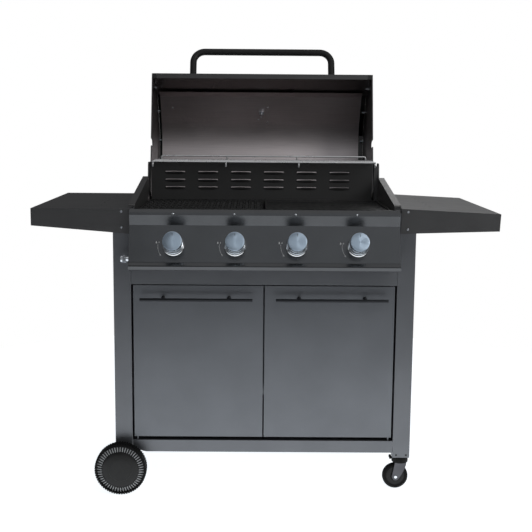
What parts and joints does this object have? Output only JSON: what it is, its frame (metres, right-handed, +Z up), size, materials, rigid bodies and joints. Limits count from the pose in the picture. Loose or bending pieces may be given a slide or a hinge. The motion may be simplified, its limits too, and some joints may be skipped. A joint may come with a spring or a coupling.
{
  "type": "gas barbecue grill",
  "caption": "Gas barbecue grill on a wheeled cabinet: open hinged lid, cast-iron grate and griddle, knobs on a tilted panel, side shelves and cupboard doors.",
  "frame": {"origin": "on the ground, under the middle of the whole outline with the lid open", "axes": "+Z up, front of the grill towards -Y, +X towards the casters"},
  "size_m": [1.3286, 0.8372, 1.3066],
  "materials": {
    "paint": "satin powder coat",
    "panel_paint": "satin",
    "enamel": "satin heat-proof",
    "iron": "matt seasoned",
    "stainless": "brushed",
    "chrome": "polished",
    "zinc": "plated",
    "knob_silver": "satin",
    "brass": "turned",
    "black_plastic": "moulded"
  },
  "bodies": {
    "frame": {"leg_front_left": "paint", "leg_front_right": "paint", "leg_rear_left": "paint", "leg_rear_right": "paint", "front_top_rail": "paint", "front_bottom_rail": "paint", "rear_top_rail": "paint", "rear_panel": "paint", "side_panel_left": "paint", "side_panel_right": "paint", "cabinet_floor": "paint", "control_panel": "panel_paint", "gas_manifold": "zinc", "firebox_tub": "enamel", "firebox_side_left": "enamel", "firebox_side_right": "enamel", "rear_vent_wall": "enamel", "flame_tamer_left": "stainless", "flame_tamer_right": "stainless", "side_shelf_left": "paint", "side_shelf_right": "paint", "wheel_axle": "zinc", "burner_1": "stainless", "burner_2": "stainless", "burner_3": "stainless", "burner_4": "stainless", "knob_bezel_1": "chrome", "knob_bezel_2": "chrome", "knob_bezel_3": "chrome", "knob_bezel_4": "chrome"},
    "lid": {"lid_skin": "paint", "lid_liner": "stainless", "thermometer": "chrome", "lid_cap_left": "paint", "lid_cap_right": "paint", "lid_handle": "paint"},
    "grate": {"cooking_grate": "iron"},
    "griddle": {"griddle_plate": "iron"},
    "rack": {"warming_rack": "chrome"},
    "tray": {"drip_tray": "stainless"},
    "door_left": {"door_left": "paint", "door_handle_left": "panel_paint"},
    "door_right": {"door_right": "paint", "door_handle_right": "panel_paint"},
    "wheel_front": {"wheel_front": "black_plastic"},
    "wheel_rear": {"wheel_rear": "black_plastic"},
    "stem_1": {"valve_stem_1": "brass"},
    "knob_1": {"knob_1": "knob_silver"},
    "stem_2": {"valve_stem_2": "brass"},
    "knob_2": {"knob_2": "knob_silver"},
    "stem_3": {"valve_stem_3": "brass"},
    "knob_3": {"knob_3": "knob_silver"},
    "stem_4": {"valve_stem_4": "brass"},
    "knob_4": {"knob_4": "knob_silver"},
    "caster_front": {"caster_fork_front": "zinc"},
    "caster_wheel_front": {"caster_wheel_front": "black_plastic"},
    "caster_brake_front": {"caster_brake_front": "black_plastic"},
    "caster_rear": {"caster_fork_rear": "zinc"},
    "caster_wheel_rear": {"caster_wheel_rear": "black_plastic"},
    "caster_brake_rear": {"caster_brake_rear": "black_plastic"}
  },
  "joints": [
    {"name": "lid_hinge", "type": "hinge", "parent": "frame", "child": "lid", "pos_m": [-0.00934, 0.10214, 0.845], "axis": [-1, 0, 0], "range_deg": [-103.7, 0]},
    {"name": "door_left_hinge", "type": "hinge", "parent": "frame", "child": "door_left", "pos_m": [-0.36984, -0.29986, 0.38], "axis": [0, 0, -1], "range_deg": [0, 95]},
    {"name": "door_right_hinge", "type": "hinge", "parent": "frame", "child": "door_right", "pos_m": [0.36216, -0.29986, 0.38], "axis": [0, 0, 1], "range_deg": [0, 95]},
    {"name": "drip_tray_slide", "type": "slide", "parent": "frame", "child": "tray", "axis": [0, 1, 0], "range_m": [0, 0.34]},
    {"name": "grate_lift", "type": "slide", "parent": "frame", "child": "grate", "axis": [0, 0, 1], "range_m": [0, 0.06]},
    {"name": "griddle_lift", "type": "slide", "parent": "frame", "child": "griddle", "axis": [0, 0, 1], "range_m": [0, 0.06]},
    {"name": "rack_lift", "type": "slide", "parent": "frame", "child": "rack", "axis": [0, 0, 1], "range_m": [0, 0.06]},
    {"name": "wheel_front_spin", "type": "hinge", "parent": "frame", "child": "wheel_front", "pos_m": [-0.41484, -0.34186, 0.075], "axis": [0, 1, 0], "continuous": true},
    {"name": "wheel_rear_spin", "type": "hinge", "parent": "frame", "child": "wheel_rear", "pos_m": [-0.41484, 0.29614, 0.075], "axis": [0, 1, 0], "continuous": true},
    {"name": "knob_1_push", "type": "slide", "parent": "frame", "child": "stem_1", "axis": [0, 0.9311, -0.3648], "range_m": [0, 0.003], "stiffness_N_per_m": 1500},
    {"name": "knob_1_turn", "type": "hinge", "parent": "stem_1", "child": "knob_1", "pos_m": [-0.25804, -0.3538, 0.726], "axis": [0, -0.9311, 0.3648], "range_deg": [0, 180]},
    {"name": "knob_2_push", "type": "slide", "parent": "frame", "child": "stem_2", "axis": [0, 0.9311, -0.3648], "range_m": [0, 0.003], "stiffness_N_per_m": 1500},
    {"name": "knob_2_turn", "type": "hinge", "parent": "stem_2", "child": "knob_2", "pos_m": [-0.08644, -0.3538, 0.726], "axis": [0, -0.9311, 0.3648], "range_deg": [0, 180]},
    {"name": "knob_3_push", "type": "slide", "parent": "frame", "child": "stem_3", "axis": [0, 0.9311, -0.3648], "range_m": [0, 0.003], "stiffness_N_per_m": 1500},
    {"name": "knob_3_turn", "type": "hinge", "parent": "stem_3", "child": "knob_3", "pos_m": [0.08516, -0.3538, 0.726], "axis": [0, -0.9311, 0.3648], "range_deg": [0, 180]},
    {"name": "knob_4_push", "type": "slide", "parent": "frame", "child": "stem_4", "axis": [0, 0.9311, -0.3648], "range_m": [0, 0.003], "stiffness_N_per_m": 1500},
    {"name": "knob_4_turn", "type": "hinge", "parent": "stem_4", "child": "knob_4", "pos_m": [0.25676, -0.3538, 0.726], "axis": [0, -0.9311, 0.3648], "range_deg": [0, 180]},
    {"name": "caster_front_swivel", "type": "hinge", "parent": "frame", "child": "caster_front", "pos_m": [0.40116, -0.28586, 0.09], "axis": [0, 0, 1], "continuous": true},
    {"name": "caster_front_roll", "type": "hinge", "parent": "caster_front", "child": "caster_wheel_front", "pos_m": [0.38816, -0.28586, 0.0375], "axis": [0, 1, 0], "continuous": true},
    {"name": "caster_front_brake", "type": "hinge", "parent": "caster_front", "child": "caster_brake_front", "pos_m": [0.37566, -0.28586, 0.095], "axis": [0, -1, 0], "range_deg": [0, 15]},
    {"name": "caster_rear_swivel", "type": "hinge", "parent": "frame", "child": "caster_rear", "pos_m": [0.40116, 0.24014, 0.09], "axis": [0, 0, 1], "continuous": true},
    {"name": "caster_rear_roll", "type": "hinge", "parent": "caster_rear", "child": "caster_wheel_rear", "pos_m": [0.38816, 0.24014, 0.0375], "axis": [0, 1, 0], "continuous": true},
    {"name": "caster_rear_brake", "type": "hinge", "parent": "caster_rear", "child": "caster_brake_rear", "pos_m": [0.37566, 0.24014, 0.095], "axis": [0, -1, 0], "range_deg": [0, 15]}
  ]
}
